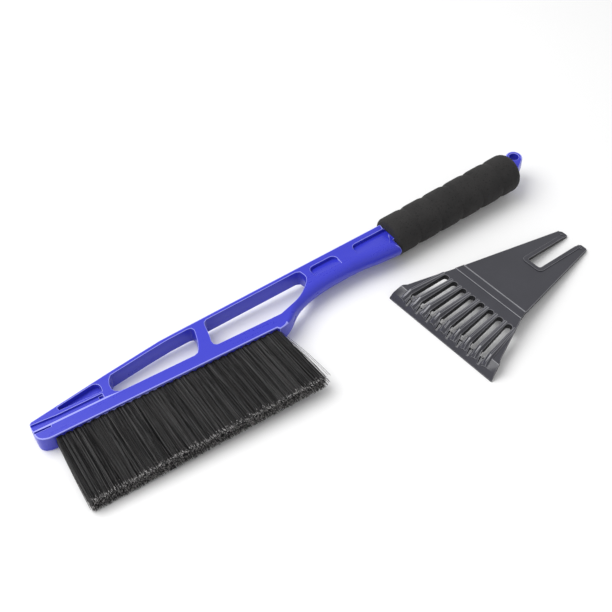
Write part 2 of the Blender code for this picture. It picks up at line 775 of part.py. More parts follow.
def scraper_side():
    """Side profile of the bent plate with its two low transverse ribs."""
    lower = [(point.x, point.y) for point in lower_profile()]
    turns = upper_profile()
    rib_starts = (turns[3].x, turns[4].x)
    upper = [(point.x, point.y) for point in turns if point.x not in rib_starts]
    for rib in rib_starts:
        for shift, lift in ((-0.5, 0.0), (-0.25, 1.0), (0.25, 1.0), (0.5, 0.0)):
            along = rib + shift * RIB_WIDTH
            upper.append((along, top_height(along) + lift * RIB_HEIGHT))
    return lower + sorted(upper, reverse=True)


def scraper_plan():
    """Plan of the scraper: blade, shoulders, tapering sides and the two-pronged fork."""
    shoulder = BLADE_WIDTH / 2 - BLADE_TAPER
    half = [
        (0.0, BLADE_WIDTH / 2, 0.0006),
        (LIP_LENGTH + 0.0010, shoulder, 0.0010),
        (LIP_LENGTH + 0.0036, shoulder - SHOULDER_STEP, 0.0010),
        (BEND_START, BEND_WIDTH / 2, 0.0),
        (BEND_START + BEND_LENGTH, BEND_WIDTH / 2 - BEND_TAPER, 0.0),
        (SCRAPER_LENGTH, FORK_TIP_WIDTH / 2, 0.0028),
    ]
    gap = FORK_GAP / 2
    root = SCRAPER_LENGTH - FORK_DEPTH
    fork = [
        (SCRAPER_LENGTH, gap, 0.0020),
        (root, gap, FORK_ROOT_ROUND),
    ]
    near = [(x, -y, r) for x, y, r in half]
    inner = [(x, -y, r) for x, y, r in fork]
    return round_corners(near + inner + fork[::-1] + half[::-1])


def slot_line(position):
    """Middle of a slot or bar, from its blade end to its bend end."""
    start = Vector((SLOT_START, position * SLOT_PITCH_START))
    end = Vector((SLOT_END, position * SLOT_PITCH_END))
    return start, end


def slot_cuts(shape):
    """Slots that clear broken ice, fanned towards the blade, and their notches' outlines."""
    notches = []
    for index in range(SLOT_COUNT):
        start, end = slot_line(index - (SLOT_COUNT - 1) / 2)
        along = (end - start).normalized()
        across = Vector((-along.y, along.x))
        low = SLOT_WIDTH_START / 2
        high = SLOT_WIDTH_END / 2
        corners = []
        for point, side, width in ((start, -1, low), (end, -1, high),
                                   (end, 1, high), (start, 1, low)):
            place = point + across * (side * width)
            corners.append((place.x, place.y, width * 0.9))
        plan = round_corners(corners)
        loft(shape, [level(plan, -CUT_PAST), level(plan, CUT_ABOVE)])
        foot = start - along * (SLOT_START - NOTCH_START)
        half = NOTCH_WIDTH / 2
        spread = low * NOTCH_SPREAD
        plan = [foot - across * half, start - across * spread,
                start + across * spread, foot + across * half]
        depths = (NOTCH_DEPTH_START, NOTCH_DEPTH_END, NOTCH_DEPTH_END, NOTCH_DEPTH_START)
        floor = [Vector((p.x, p.y, top_height(p.x) - d)) for p, d in zip(plan, depths)]
        notches.append((floor, level(plan, CUT_ABOVE)))
    return notches


def tongue_cuts(shape):
    """Steps that thin the prongs' tips."""
    start = SCRAPER_LENGTH - FORK_TONGUE_LENGTH
    end = SCRAPER_LENGTH + CUT_PAST
    reach = FORK_TIP_WIDTH
    plan = [Vector((start, -reach)), Vector((end, -reach)),
            Vector((end, reach)), Vector((start, reach))]
    lower = [Vector((p.x, p.y, top_height(start) - FORK_TONGUE_STEP)) for p in plan]
    loft(shape, [lower, level(plan, CUT_ABOVE)])


def rim_solid(shape):
    """Raised rim round the fork's gap; the plan's cut opens its middle."""
    outer = FORK_GAP / 2 + FORK_RIM_WIDTH
    root = SCRAPER_LENGTH - FORK_DEPTH - FORK_RIM_WIDTH
    past = SCRAPER_LENGTH - FORK_RIM_STOP
    plan = round_corners([
        (root, -outer, FORK_ROOT_ROUND + FORK_RIM_WIDTH / 2),
        (past, -outer, 0.0),
        (past, outer, 0.0),
        (root, outer, FORK_ROOT_ROUND + FORK_RIM_WIDTH / 2),
    ])
    lower = [Vector((p.x, p.y, top_height(p.x) - SCRAPER_THICKNESS / 2)) for p in plan]
    upper = [Vector((p.x, p.y, top_height(p.x) + FORK_RIM_HEIGHT)) for p in plan]
    loft(shape, [lower, upper])


def claw_solid(shape, position):
    """Raised claw on the bar between two slots, highest at the blade."""
    start, end = slot_line(position)
    along = (end - start).normalized()
    across = Vector((-along.y, along.x))
    first = start - along * (SLOT_START - CLAW_START)
    crest = start + along * (LIP_LENGTH - SLOT_START)
    stations = (
        (first, 0.3 * CLAW_HEIGHT),
        (first + along * 0.0024, 0.9 * CLAW_HEIGHT),
        (crest, CLAW_HEIGHT),
        (end, CLAW_END_HEIGHT),
    )
    rings = []
    for point, lift in stations:
        share = min(1.0, max(0.0, (point.x - SLOT_START) / (SLOT_END - SLOT_START)))
        pitch = SLOT_PITCH_START + (SLOT_PITCH_END - SLOT_PITCH_START) * share
        slot = SLOT_WIDTH_START + (SLOT_WIDTH_END - SLOT_WIDTH_START) * share
        base = (pitch - slot) * CLAW_BASE_SHARE / 2
        top = min(CLAW_TOP_WIDTH / 2, base * 0.6)
        ring = []
        for side, lifted in ((-base, -0.5), (base, -0.5), (base, 0.15), (top, 1.0),
                             (-top, 1.0), (-base, 0.15)):
            place = point + across * side
            rise = lift * lifted if lifted > 0 else lifted * SCRAPER_THICKNESS
            ring.append(Vector((place.x, place.y, top_height(place.x) + rise)))
        rings.append(ring)
    loft(shape, rings)


def bar_solid(shape):
    """Thicker plate round the slots, reaching down; the slots' cuts part it into bars."""
    end = SLOT_END + BAR_OVERRUN
    stations = (
        (LIP_LENGTH, -BAR_SINK),
        (LIP_LENGTH + BAR_DEPTH, BAR_DEPTH),
        (end - BAR_DEPTH, BAR_DEPTH),
        (end, -BAR_SINK),
    )
    rings = []
    for x, drop in stations:
        share = (x - SLOT_START) / (SLOT_END - SLOT_START)
        pitch = SLOT_PITCH_START + (SLOT_PITCH_END - SLOT_PITCH_START) * share
        slot = SLOT_WIDTH_START + (SLOT_WIDTH_END - SLOT_WIDTH_START) * share
        reach = pitch * (SLOT_COUNT - 1) / 2 + slot / 2 + BAR_SIDE
        under = read_profile(lower_profile(), x)
        roof = under + SCRAPER_THICKNESS / 3
        rings.append([Vector((x, -reach, under - drop)), Vector((x, reach, under - drop)),
                      Vector((x, reach, roof)), Vector((x, -reach, roof))])
    loft(shape, rings)


def nub_solid(shape, side):
    """Small catch at a prong's tip."""
    x = SCRAPER_LENGTH - NUB_START
    y = side * (FORK_GAP / 2 + FORK_TIP_WIDTH / 2) / 2
    half = NUB_SIZE / 2
    ring = [Vector((x - half, y - half)), Vector((x + half, y - half)),
            Vector((x + half, y + half)), Vector((x - half, y + half))]
    low = [Vector((p.x, p.y, top_height(p.x) - SCRAPER_THICKNESS / 2)) for p in ring]
    high = [Vector((p.x, p.y, top_height(p.x) + NUB_HEIGHT)) for p in ring]
    loft(shape, [low, high])


def build_scraper(parent, black):
    side = scraper_side()
    reach = BLADE_WIDTH / 2 + CUT_PAST
    slab = bmesh.new()
    loft(slab, [[Vector((s, y, z)) for s, z in side] for y in (-reach, reach)])
    scraper = add_object("scraper_head", slab, black, parent)
    raised = bmesh.new()
    for index in range(SLOT_COUNT + 1):
        claw_solid(raised, index - SLOT_COUNT / 2)
    for fork_side in (-1, 1):
        nub_solid(raised, fork_side)
    rim_solid(raised)
    bar_solid(raised)
    combine(scraper, add_cutter("raised_shapes", raised, parent), "UNION")
    plan = bmesh.new()
    loft(plan, [level(scraper_plan(), -CUT_PAST), level(scraper_plan(), CUT_ABOVE)])
    combine(scraper, add_cutter("scraper_plan", plan, parent), "INTERSECT")
    cuts = bmesh.new()
    notches = slot_cuts(cuts)
    tongue_cuts(cuts)
    grooves = bmesh.new()
    for floor, roof in notches:
        loft(grooves, [floor, roof])
    combine(scraper, add_cutter("notch_cuts", grooves, parent), "DIFFERENCE")
    combine(scraper, add_cutter("scraper_cuts", cuts, parent), "DIFFERENCE")
    return scraper


def centre_on_origin(holders):
    """Put the origin under the middle of everything, on the table."""
    bpy.context.view_layer.update()
    graph = bpy.context.evaluated_depsgraph_get()
    low = Vector((math.inf,) * 3)
    high = Vector((-math.inf,) * 3)
    for item in bpy.data.objects:
        if item.type != "MESH" or item.hide_render:
            continue
        mesh = item.evaluated_get(graph).to_mesh()
        for vertex in mesh.vertices:
            point = item.matrix_world @ vertex.co
            low = Vector(map(min, low, point))
            high = Vector(map(max, high, point))
        item.evaluated_get(graph).to_mesh_clear()
    for holder in holders:
        holder.location -= Vector(((low.x + high.x) / 2, (low.y + high.y) / 2, low.z))
    bpy.context.view_layer.update()


def main():
    clear_scene()
    blue = plastic("blue_polypropylene", (0.045, 0.048, 0.62), 0.38)
    foam_black = plastic("black_foam", (0.022, 0.021, 0.020), 0.92)
    bristle_black = plastic("black_bristle", (0.012, 0.011, 0.010), 0.55)
    zinc_steel = plastic("zinc_plated_steel", (0.55, 0.56, 0.58), 0.35, 1.0)
    scraper_black = plastic("black_polystyrene", (0.030, 0.030, 0.034), 0.32)
    lift = HALF_BODY * math.cos(REST_TILT) + TIP_REACH * math.sin(REST_TILT)
    brush = add_empty("brush_rest", (0.0, 0.0, lift), (0.0, -REST_TILT, 0.0))
    beside = add_empty(
        "scraper_rest",
        (SCRAPER_AHEAD, SCRAPER_BESIDE, 0.0),
        (0.0, 0.0, SCRAPER_TURN),
    )
    build_body(brush, blue)
    build_grip(brush, foam_black)
    build_bristles(brush, bristle_black, zinc_steel)
    build_scraper(beside, scraper_black)
    centre_on_origin((brush, beside))


main()
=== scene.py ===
"""Snow brush with a loose ice scraper: the looks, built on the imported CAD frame."""
import json
import math

import bmesh
import bpy
import numpy as np
from mathutils import Matrix, Vector


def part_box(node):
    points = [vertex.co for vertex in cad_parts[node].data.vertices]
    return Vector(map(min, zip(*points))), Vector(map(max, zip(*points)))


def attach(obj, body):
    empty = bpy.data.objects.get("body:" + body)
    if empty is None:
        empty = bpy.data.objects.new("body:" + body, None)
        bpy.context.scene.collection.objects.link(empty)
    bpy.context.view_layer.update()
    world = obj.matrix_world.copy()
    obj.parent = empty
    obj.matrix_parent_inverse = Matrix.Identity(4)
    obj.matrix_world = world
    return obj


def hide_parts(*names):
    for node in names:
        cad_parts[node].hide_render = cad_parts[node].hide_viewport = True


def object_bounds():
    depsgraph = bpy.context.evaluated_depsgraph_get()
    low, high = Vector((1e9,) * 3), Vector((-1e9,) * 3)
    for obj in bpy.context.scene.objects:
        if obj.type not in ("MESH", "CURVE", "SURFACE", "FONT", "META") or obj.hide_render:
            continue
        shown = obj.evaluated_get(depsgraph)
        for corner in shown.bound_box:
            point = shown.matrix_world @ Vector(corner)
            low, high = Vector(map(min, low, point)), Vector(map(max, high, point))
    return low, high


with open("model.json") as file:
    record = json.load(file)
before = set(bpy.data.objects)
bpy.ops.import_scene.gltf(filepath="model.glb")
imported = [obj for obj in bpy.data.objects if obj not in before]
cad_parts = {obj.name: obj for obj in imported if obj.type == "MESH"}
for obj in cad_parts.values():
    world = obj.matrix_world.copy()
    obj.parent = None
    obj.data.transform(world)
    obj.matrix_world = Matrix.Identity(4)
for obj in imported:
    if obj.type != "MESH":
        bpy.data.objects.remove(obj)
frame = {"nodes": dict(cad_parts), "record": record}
cad_low, cad_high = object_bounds()


# ---------------------------------------------------------------------------
# Brush body
# One injection moulding in royal blue polypropylene: nose, bristle band, two
# windows, docking grooves, thumb recesses, handle core and hanging loop. The
# mould closes at mid-thickness, and every rim comes out of it slightly rounded.
# ---------------------------------------------------------------------------
body_rim_round = 0.00034
body_rim_angle = 32
body_rim_face = 0.0007
moulding_smooth_angle = 38
weld_distance = 0.00001
body_blue = (0.034, 0.040, 0.53, 1.0)
# A light blue painted on the narrow rims: a painted highlight along the edges.
body_blue_painted_highlight = (0.38, 0.40, 0.95, 1.0)
body_blue_deep = (0.030, 0.034, 0.49, 1.0)


class Value:
    """A number on a surface: Python's operators add the Math nodes that work it out."""

    def __init__(self, paint, socket):
        self.paint = paint
        self.socket = socket

    def join(self, operation, first, second):
        made = self.paint.add("ShaderNodeMath", {"operation": operation}, {0: first, 1: second})
        return Value(self.paint, made.outputs[0])

    def __add__(self, other):
        return self.join("ADD", self, other)

    def __radd__(self, other):
        return self.join("ADD", other, self)

    def __sub__(self, other):
        return self.join("SUBTRACT", self, other)

    def __rsub__(self, other):
        return self.join("SUBTRACT", other, self)

    def __mul__(self, other):
        return self.join("MULTIPLY", self, other)

    def __rmul__(self, other):
        return self.join("MULTIPLY", other, self)

    def __gt__(self, other):
        return self.join("GREATER_THAN", self, other)

    def low(self, other):
        return self.join("MINIMUM", self, other)

    def high(self, other):
        return self.join("MAXIMUM", self, other)


class Paint:
    """A finish made of nodes on one Principled shader."""

    def __init__(self, name, **fixed):
        self.material = bpy.data.materials.new(name)
        self.material.use_nodes = True
        self.tree = self.material.node_tree
        self.shader = self.tree.nodes["Principled BSDF"]
        for socket, value in fixed.items():
            self.shader.inputs[socket.replace("_", " ").title().replace("Ior", "IOR")].default_value = value

    def add(self, kind, settings=None, inputs=None):
        made = self.tree.nodes.new(kind)
        for name, value in (settings or {}).items():
            if name == "stops":
                while len(made.color_ramp.elements) < len(value):
                    made.color_ramp.elements.new(0.5)
                for element, (place, colour) in zip(made.color_ramp.elements, value):
                    element.position = place
                    element.color = colour
            else:
                setattr(made, name, value)
        for name, value in (inputs or {}).items():
            if isinstance(value, Value):
                value = value.socket
            if isinstance(value, bpy.types.NodeSocket):
                self.tree.links.new(value, made.inputs[name])
            else:
                made.inputs[name].default_value = value
        return made

    def out(self, made, name=0):
        return Value(self, made.outputs[name])

    def place(self, turn=(0.0, 0.0, 0.0), scale=(1.0, 1.0, 1.0)):
        """Object coordinates, turned and scaled."""
        coordinates = self.add("ShaderNodeTexCoord")
        mapped = self.add("ShaderNodeMapping", {}, {
            "Vector": coordinates.outputs["Object"], "Rotation": turn, "Scale": scale,
        })
        return mapped.outputs[0]

    def noise(self, place, scale, detail=3.0, roughness=0.55):
        made = self.add("ShaderNodeTexNoise", {}, {
            "Vector": place, "Scale": scale, "Detail": detail, "Roughness": roughness,
        })
        return self.out(made, 0)

    def ramp(self, value, stops):
        made = self.add("ShaderNodeValToRGB", {"stops": stops}, {0: value})
        return made.outputs[0]

    def blend(self, share, first, second):
        made = self.add("ShaderNodeMix", {"data_type": "RGBA"}, {0: share, 6: first, 7: second})
        return made.outputs[2]

    def feed(self, socket, value):
        if isinstance(value, Value):
            value = value.socket
        self.tree.links.new(value, self.shader.inputs[socket])

    def bump(self, height, distance, strength=1.0):
        made = self.add("ShaderNodeBump", {}, {"Strength": strength, "Distance": distance, "Height": height})
        self.feed("Normal", Value(self, made.outputs[0]))


def only(piece):
    """Nothing else is selected, and this piece is the active one."""
    bpy.ops.object.select_all(action="DESELECT")
    piece.select_set(True)
    bpy.context.view_layer.objects.active = piece


def cad_copy(node, name):
    """A CAD node's shape as a piece of its own, with its loose triangles joined up."""
    piece = frame["nodes"][node].copy()
    piece.data = frame["nodes"][node].data.copy()
    piece.name = name
    piece.data.name = name
    for key in list(piece.keys()):
        del piece[key]
    piece.parent = None
    bpy.context.scene.collection.objects.link(piece)
    only(piece)
    bpy.ops.object.mode_set(mode="EDIT")
    bpy.ops.mesh.select_all(action="SELECT")
    bpy.ops.mesh.remove_doubles(threshold=weld_distance)
    bpy.ops.mesh.customdata_custom_splitnormals_clear()
    bpy.ops.mesh.dissolve_limited(angle_limit=math.radians(0.6))
    bpy.ops.object.mode_set(mode="OBJECT")
    return piece


def add_modifier(piece, name, kind, **settings):
    only(piece)
    change = piece.modifiers.new(name, kind)
    for key, value in settings.items():
        setattr(change, key, value)
    bpy.ops.object.modifier_apply(modifier=name)


def round_rims(piece, width, angle):
    """Round the outward edges that turn by more than an angle; inner corners stay crisp."""
    shape = bmesh.new()
    shape.from_mesh(piece.data)
    weight = shape.edges.layers.float.new("bevel_weight_edge")
    for edge in shape.edges:
        if len(edge.link_faces) == 2 and edge.is_convex:
            edge[weight] = 1.0 if edge.calc_face_angle() > math.radians(angle) else 0.0
    shape.to_mesh(piece.data)
    shape.free()
    add_modifier(piece, "rims", "BEVEL", width=width, segments=2, limit_method="WEIGHT",
                 use_clamp_overlap=False, miter_outer="MITER_SHARP")


def even_normals(piece, angle):
    """Wide flat faces keep their own normals; only the narrow rims between them turn."""
    only(piece)
    bpy.ops.object.shade_smooth_by_angle(angle=math.radians(angle))
    add_modifier(piece, "even normals", "WEIGHTED_NORMAL", weight=100, keep_sharp=True)


def mark_rims(piece, width):
    """Note which faces are narrower than a width, so that a finish can paint highlights on them."""
    mesh = piece.data
    narrow = []
    for face in mesh.polygons:
        around = sum((mesh.vertices[a].co - mesh.vertices[b].co).length for a, b in face.edge_keys)
        narrow.append(1.0 if 2 * face.area / around < width else 0.0)
    attribute = mesh.attributes.new("rim", "FLOAT", "FACE")
    attribute.data.foreach_set("value", narrow)


def dress(piece, paint):
    piece.data.materials.clear()
    piece.data.materials.append(paint.material)


body = cad_copy("brush_body", "body_moulding")
round_rims(body, body_rim_round, body_rim_angle)
even_normals(body, moulding_smooth_angle)
mark_rims(body, body_rim_face)

brush_up = -Vector(frame["record"]["mounts"][0]["axis"])
brush_tilt = math.atan2(brush_up.x, brush_up.z)

blue = Paint("blue_polypropylene", roughness=0.30, specular_ior_level=0.5)
place = blue.place(turn=(0.0, brush_tilt, 0.0))
cloud = blue.noise(place, 34.0, 4.0)
flow = blue.noise(blue.place(turn=(0.0, brush_tilt, 0.0), scale=(0.25, 1.6, 1.0)), 60.0, 5.0, 0.6)
peel = blue.noise(place, 900.0, 2.0)
rim = blue.out(blue.add("ShaderNodeAttribute", {"attribute_name": "rim"}), 2)
even = blue.blend(cloud, body_blue_deep, body_blue)
# The narrow rim faces are painted the light blue: a painted highlight along every rounded edge.
blue.feed("Base Color", Value(blue, blue.blend(rim * 0.8, even, body_blue_painted_highlight)))
blue.feed("Roughness", 0.20 + flow * 0.14 + peel * 0.04)
blue.bump(peel * 0.7 + flow * 0.3, 0.00005)
dress(body, blue)
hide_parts("brush_body")
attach(body, "brush")


# ---------------------------------------------------------------------------
# Tuft anchors
# Short flat pieces of zinc-plated steel wire, driven across each tuft hole so
# that the folded bristles can't pull out. They are out of sight in the band.
# ---------------------------------------------------------------------------
tuft_rows = 28
zinc_dark = (0.42, 0.43, 0.45, 1)
zinc_light = (0.62, 0.63, 0.64, 1)

steel = Paint("zinc_plated_wire", metallic=1.0)
place = steel.place(scale=(1.0, 1.0, 0.08))
brushed = steel.noise(place, 9000.0, 3.0)
steel.feed("Base Color", Value(steel, steel.ramp(brushed, [(0.3, zinc_dark), (0.7, zinc_light)])))
steel.feed("Roughness", 0.28 + brushed * 0.25)
steel.bump(brushed, 0.00001)
for number in range(1, tuft_rows + 1):
    anchor = frame["nodes"][f"tuft_anchor_{number:02d}"]
    anchor.data.materials.clear()
    anchor.data.materials.append(steel.material)


# ---------------------------------------------------------------------------
# Bristles
# Black synthetic filament about a third of a millimetre thick, bundled, folded
# over the wires in the band's holes, and cut off level. Each cross-row of
# bundles spreads below the band until it meets the next row.
# ---------------------------------------------------------------------------
strands_per_row = 340
strand_radius = 0.00016
strand_stops = (0.0, 0.03, 0.06, 0.10, 0.32, 0.56, 0.80, 1.0)
band_depth = 0.0077
flare_length = 0.0060
flare_share = 0.5
hole_reach = 0.0012
end_clearance = 0.0002
trim_scatter = 0.0011
tip_scatter = 0.0006
frayed_share = 0.08
strays_per_row = {1: 5, tuft_rows: 13}
random = np.random.default_rng(7)


def strand_mesh(name, lines):
    """Three-sided filaments swept along their middle lines, each with its own tone."""
    count, rings = lines.shape[:2]
    along = np.gradient(lines, axis=1)
    along /= np.linalg.norm(along, axis=2, keepdims=True)
    side = np.cross(along, np.array([0.0, 0.0, 1.0]))
    side /= np.linalg.norm(side, axis=2, keepdims=True)
    over = np.cross(side, along)
    spin = random.uniform(0, 2 * math.pi, (count, 1, 1))
    points = np.zeros((count, rings, 3, 3))
    for corner in range(3):
        angle = spin + corner * 2 * math.pi / 3
        points[:, :, corner] = lines + (np.cos(angle) * side + np.sin(angle) * over) * strand_radius
    base = (np.arange(count) * rings * 3)[:, None]
    faces = []
    for ring in range(rings - 1):
        for corner in range(3):
            following = (corner + 1) % 3
            faces.append(base + np.array([[ring * 3 + corner, ring * 3 + following,
                                           ring * 3 + 3 + following, ring * 3 + 3 + corner]]))
    last = (rings - 1) * 3
    tips = base + np.array([[last, last + 1, last + 2]])
    roots = base + np.array([[2, 1, 0]])
    mesh = bpy.data.meshes.new(name)
    mesh.from_pydata(points.reshape(-1, 3).tolist(), [],
                     np.concatenate(faces).tolist() + tips.tolist() + roots.tolist())
    tone = np.repeat(random.uniform(0, 1, count), rings * 3)
    attribute = mesh.attributes.new("strand_tone", "FLOAT", "POINT")
    attribute.data.foreach_set("value", tone.astype(np.float32))
    share = np.tile(np.repeat(np.array(strand_stops), 3), count)
    attribute = mesh.attributes.new("strand_share", "FLOAT", "POINT")
    attribute.data.foreach_set("value", share.astype(np.float32))
    piece = bpy.data.objects.new(name, mesh)
    bpy.context.scene.collection.objects.link(piece)
    return piece


def strand_lines(root, flare, tip, bow):
    """Middle lines that leave the band straight, spread, and then run down with a bow."""
    lines = np.zeros((len(root), len(strand_stops), 3))
    turn = (flare[:, 1] - root[:, 1]) / (tip[:, 1] - root[:, 1])
    for ring, share in enumerate(strand_stops):
        near = np.clip(share / turn, 0, 1)[:, None]
        near = near * near * (3 - 2 * near)
        far = np.clip((share - turn) / (1 - turn), 0, 1)[:, None]
        place = root + (flare - root) * near + (tip - flare) * far
        place[:, 1] = root[:, 1] + (tip[:, 1] - root[:, 1]) * share
        bend = (far * (1 - far) * 4 * bow[:, :2])
        place[:, 0] += bend[:, 0]
        place[:, 2] += bend[:, 1]
        lines[:, ring] = place
    return lines


bristle = Paint("black_bristle_filament", roughness=0.5, specular_ior_level=0.3)
tone = bristle.out(bristle.add("ShaderNodeAttribute", {"attribute_name": "strand_tone"}), 2)
share = bristle.out(bristle.add("ShaderNodeAttribute", {"attribute_name": "strand_share"}), 2)
root_colour = bristle.ramp(tone, [(0.0, (0.006, 0.006, 0.0065, 1)), (0.8, (0.026, 0.025, 0.0255, 1)),
                                  (1.0, (0.060, 0.056, 0.056, 1))])
# Near the cut ends about a third of the strands are painted light grey: painted highlights on the tips; the
# rest keep a dark tone.
tip_colour_and_highlight = bristle.ramp(tone, [(0.0, (0.012, 0.012, 0.012, 1)), (0.62, (0.03, 0.03, 0.03, 1)),
                                 (0.72, (0.26, 0.25, 0.25, 1)), (1.0, (0.70, 0.68, 0.67, 1))])
near_tip = bristle.add("ShaderNodeMapRange", {}, {"Value": share, "From Min": 0.972, "From Max": 0.998})
glint = bristle.noise(bristle.place(), 700.0, 2.0) * ((share - 0.45) * 0.5).high(0.0) > 0.170
plain = bristle.blend(bristle.out(near_tip), root_colour, tip_colour_and_highlight)
bristle.feed("Base Color", Value(bristle, bristle.blend(glint, plain, (0.60, 0.58, 0.58, 1))))
bristle.feed("Roughness", 0.36 + tone * 0.16)

tilt_back = Matrix.Rotation(-brush_tilt, 4, "Y")
to_brush = np.array(tilt_back.inverted().to_3x3())
from_brush = np.array(tilt_back.to_3x3())
for number in range(1, tuft_rows + 1):
    node = f"bristle_tuft_{number:02d}"
    solid = np.array([v.co for v in frame["nodes"][node].data.vertices]) @ to_brush.T
    bottom = solid[:, 1].min()
    mouth = solid[:, 1].max() - band_depth
    lows = []
    highs = []
    for height in (mouth, mouth - flare_length, bottom):
        ring = solid[np.abs(solid[:, 1] - height) < 0.0004]
        lows.append(ring.min(0) + strand_radius)
        highs.append(ring.max(0) - strand_radius)
    strays = strays_per_row.get(number, 0)
    count = strands_per_row + strays
    spots = random.uniform(0, 1, (count, 2))
    spots[:, 0] = (random.permutation(count) + spots[:, 0]) / count
    scatter = random.normal(0, 1, (count, 3))
    bow = random.normal(0, 0.00022, (count, 2))
    tip_shift = scatter[:, 0] * tip_scatter
    frayed = random.uniform(0, 1, count) < frayed_share
    bow[frayed] *= 4.0
    tip_shift[frayed] *= 3.0
    if number == 1:
        tip_shift = np.maximum(tip_shift, -0.0001)
    if strays:
        outward = -1.0 if number == 1 else 1.0
        reach = np.linspace(0.0013, 0.0017, strays) if number == 1 else np.linspace(0.0005, 0.0052, strays)
        spots[-strays:, 0] = 0.02 if number == 1 else 0.98
        bow[-strays:, 0] = outward * reach * random.uniform(0.1, 0.5, strays)
        tip_shift[-strays:] = outward * reach
    places = []
    for low, high, wide in zip(lows, highs, (1.0, 0.0, 0.0)):
        wide *= (highs[1][0] - lows[1][0] - high[0] + low[0]) / 2
        places.append(np.stack([
            low[0] - wide + spots[:, 0] * (high[0] - low[0] + 2 * wide),
            np.zeros(count),
            low[2] + spots[:, 1] * (high[2] - low[2]),
        ], 1))
    in_hole = (places[0][:, 0] > lows[0][0]) & (places[0][:, 0] < highs[0][0])
    places[0][:, 1] = mouth + np.where(in_hole, hole_reach, -0.0001)
    places[1][:, 1] = mouth - flare_length * flare_share
    places[2][:, 0] += tip_shift
    places[2][:, 1] = bottom + end_clearance + np.abs(scatter[:, 1]) * trim_scatter
    places[2][:, 2] = np.maximum(places[2][:, 2] + scatter[:, 2] * 0.0005, lows[2][2])
    bow[:, 1] = np.abs(bow[:, 1]) * 0.8
    lines = strand_lines(places[0], places[1], places[2], bow)
    row = strand_mesh(f"bristles_{number:02d}", lines @ from_brush.T)
    dress(row, bristle)
    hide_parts(node)
    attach(row, "brush")


# ---------------------------------------------------------------------------
# Foam grip
# A sleeve of black closed-cell foam rubber, cut from a tube whose shallow
# grooves are turned into it, and pushed over the handle core from the loop end.
# ---------------------------------------------------------------------------
foam_sides = 64
foam_grooves = 5
foam_bore = (0.0168, 0.0133)
foam_front_round = 0.0030
foam_end_round = 0.0092
foam_groove_depth = 0.0013
foam_groove_width = 0.0030
foam_crease_width = 0.0011
foam_crease_share = 0.28

solid = np.array([v.co for v in frame["nodes"]["foam_grip"].data.vertices])
foam_line = Vector(np.linalg.svd(solid - solid.mean(0), full_matrices=False)[2][0])
foam_line = foam_line if foam_line.x > 0 else -foam_line
for step in range(4):
    across = Vector(brush_up).cross(foam_line).normalized()
    up = foam_line.cross(across).normalized()
    spread = solid @ np.array([foam_line, across, up]).T
    middles = []
    for part in (spread[:, 0] < spread[:, 0].min() + 0.045, spread[:, 0] > spread[:, 0].max() - 0.045):
        ends = spread[part]
        centre = (ends.min(0) + ends.max(0)) / 2
        middles.append(foam_line * centre[0] + across * centre[1] + up * centre[2])
    foam_line = (middles[1] - middles[0]).normalized()
reach = solid @ np.array(foam_line)
foam_start = middles[0] + foam_line * (reach.min() - middles[0].dot(foam_line))
foam_length = reach.max() - reach.min()
foam_radius = max((Vector(point) - middles[0]).cross(foam_line).length for point in solid)


def groove(along):
    """How far the surface sinks at a place along the sleeve."""
    pitch = foam_length / (foam_grooves + 1)
    nearest = min(max(round(along / pitch), 1), foam_grooves) * pitch
    wide = math.exp(-((along - nearest) / foam_groove_width) ** 2)
    crease = math.exp(-((along - nearest) / foam_crease_width) ** 2)
    return foam_groove_depth * ((1 - foam_crease_share) * wide + foam_crease_share * crease)


outline = [(0.0, 0.0108), (0.0, 0.0140)]
for angle in range(0, 91, 15):
    turn = math.radians(angle)
    outline.append((foam_front_round * (1 - math.cos(turn)),
                    foam_radius - foam_front_round * (1 - math.sin(turn))))
plain = foam_length - foam_front_round - foam_end_round
for step in range(1, 200):
    along = foam_front_round + plain * step / 200
    outline.append((along, foam_radius - groove(along)))
for angle in range(0, 91, 10):
    turn = math.radians(angle)
    outline.append((foam_length - foam_end_round * (1 - math.sin(turn)),
                    foam_radius - foam_end_round * (1 - math.cos(turn))))
outline.append((foam_length, foam_radius - foam_end_round - 0.0004))
mesh = bpy.data.meshes.new("foam_sleeve")
mesh.from_pydata([(x, r, 0.0) for x, r in outline], [(i, i + 1) for i in range(len(outline) - 1)], [])
foam = bpy.data.objects.new("foam_sleeve", mesh)
bpy.context.scene.collection.objects.link(foam)
only(foam)
bpy.ops.object.mode_set(mode="EDIT")
bpy.ops.mesh.select_all(action="SELECT")
bpy.ops.mesh.spin(steps=foam_sides, angle=2 * math.pi, center=(0, 0, 0), axis=(1, 0, 0), dupli=False)
bpy.ops.mesh.select_all(action="SELECT")
bpy.ops.mesh.remove_doubles(threshold=weld_distance)
bpy.ops.object.mode_set(mode="OBJECT")
for vertex in mesh.vertices:
    radius = math.hypot(vertex.co.y, vertex.co.z)
    at_front = vertex.co.x < 0.00001 and radius < 0.0110
    at_back = vertex.co.x > foam_length - 0.00001 and radius < foam_radius - foam_end_round - 0.0002
    if at_front or at_back:
        y, z = vertex.co.y / radius, vertex.co.z / radius
        fit = 1 / max(abs(y) / (foam_bore[0] / 2), abs(z) / (foam_bore[1] / 2))
        vertex.co.y, vertex.co.z = y * fit, z * fit
        vertex.select = True
only(foam)
bpy.ops.object.mode_set(mode="EDIT")
bpy.ops.mesh.select_mode(type="EDGE")
bpy.ops.mesh.select_all(action="DESELECT")
bpy.ops.mesh.select_non_manifold(
    extend=False, use_wire=False, use_boundary=True,
    use_multi_face=False, use_non_contiguous=False, use_verts=False,
)
bpy.ops.mesh.bridge_edge_loops()
bpy.ops.mesh.select_all(action="SELECT")
bpy.ops.mesh.normals_make_consistent(inside=False)
bpy.ops.object.mode_set(mode="OBJECT")
turned = Matrix((foam_line, across, up)).transposed().to_4x4()
foam.matrix_world = Matrix.Translation(foam_start) @ turned
only(foam)
bpy.ops.object.transform_apply(location=True, rotation=True, scale=True)
bpy.ops.object.shade_smooth_by_angle(angle=math.radians(50))

